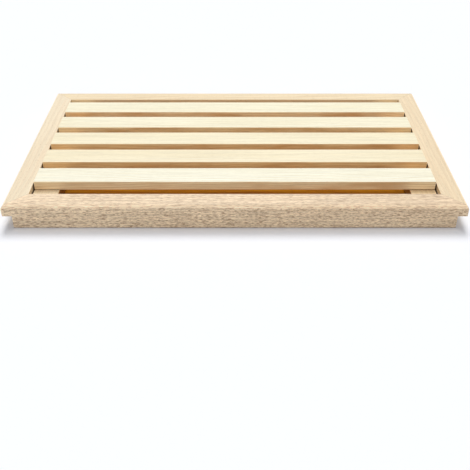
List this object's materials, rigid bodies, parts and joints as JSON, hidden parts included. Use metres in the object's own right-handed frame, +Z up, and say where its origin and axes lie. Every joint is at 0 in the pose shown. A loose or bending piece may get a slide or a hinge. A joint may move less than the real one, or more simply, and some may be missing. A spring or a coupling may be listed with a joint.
{
  "type": "slatted bread board with crumb tray",
  "caption": "Low mitred wooden frame with a fixed tray floor and a lift-out grid of wooden slats for slicing bread; lips on both sides with finger rebates.",
  "frame": {"origin": "under the middle of the board, on the surface that it rests on", "axes": "+X to the right along the slats, +Y to the back, +Z up"},
  "size_m": [0.42, 0.25, 0.0272],
  "materials": {
    "long_rail_wood": "planed, unfinished, open pores",
    "side_rail_wood": "planed, unfinished",
    "biscuit_beech": "pressed",
    "floor_plywood": "sanded",
    "slat_wood": "planed, unfinished",
    "bearer_wood": "planed, unfinished",
    "screw_steel": "zinc plated"
  },
  "bodies": {
    "tray": {"front_rail": "long_rail_wood", "back_rail": "long_rail_wood", "left_rail": "side_rail_wood", "right_rail": "side_rail_wood", "front_left_biscuit": "biscuit_beech", "front_right_biscuit": "biscuit_beech", "back_left_biscuit": "biscuit_beech", "back_right_biscuit": "biscuit_beech", "floor_panel": "floor_plywood"},
    "slat_grid": {"slat_1": "slat_wood", "slat_2": "slat_wood", "slat_3": "slat_wood", "slat_4": "slat_wood", "slat_5": "slat_wood", "left_bearer": "bearer_wood", "right_bearer": "bearer_wood", "left_bearer_screws": "screw_steel", "right_bearer_screws": "screw_steel"}
  },
  "joints": [
    {"name": "grid_lift", "type": "slide", "parent": "tray", "child": "slat_grid", "axis": [0, 0, 1], "range_m": [0, 0.03]}
  ]
}
